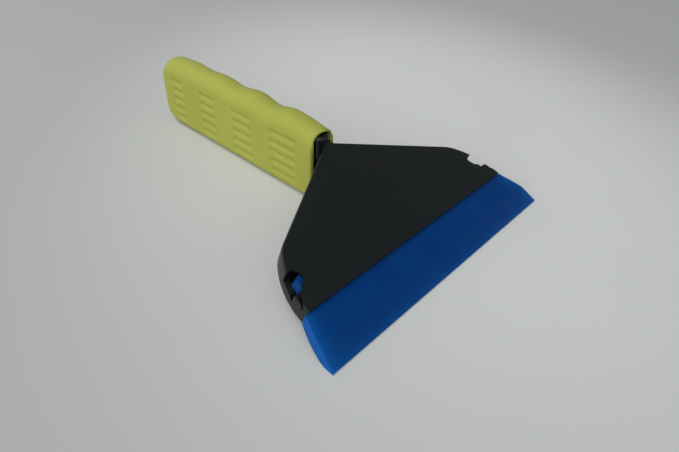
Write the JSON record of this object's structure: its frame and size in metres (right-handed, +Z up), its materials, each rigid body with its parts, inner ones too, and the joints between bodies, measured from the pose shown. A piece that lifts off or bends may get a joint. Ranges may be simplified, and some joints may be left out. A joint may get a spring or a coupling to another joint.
{
  "type": "squeegee applicator",
  "caption": "Hand squeegee for laying vinyl and window film: a flared flexible blade in a slotted fan-shaped head, on a tall narrow grip with a soft sleeve.",
  "frame": {"origin": "on the surface the tool lies on, under the middle of its length and width", "axes": "+Z up, +Y along the tool from the wiping edge to the closed end of the grip, +X across the blade"},
  "size_m": [0.15, 0.2094, 0.0404],
  "materials": {
    "black_plastic": "satin moulded",
    "blue_polyurethane": "smooth cast sheet",
    "green_silicone": "fine matte moulded"
  },
  "bodies": {
    "handle": {"holder": "black_plastic"},
    "blade_body": {"blade": "blue_polyurethane"},
    "sleeve_body": {"grip_sleeve": "green_silicone"}
  },
  "joints": [
    {"name": "blade_draw", "type": "slide", "parent": "handle", "child": "blade_body", "axis": [0, -0.9449, -0.3272], "range_m": [0, 0.02]},
    {"name": "sleeve_pull", "type": "slide", "parent": "handle", "child": "sleeve_body", "axis": [0, 1, 0], "range_m": [0, 0.12]}
  ]
}
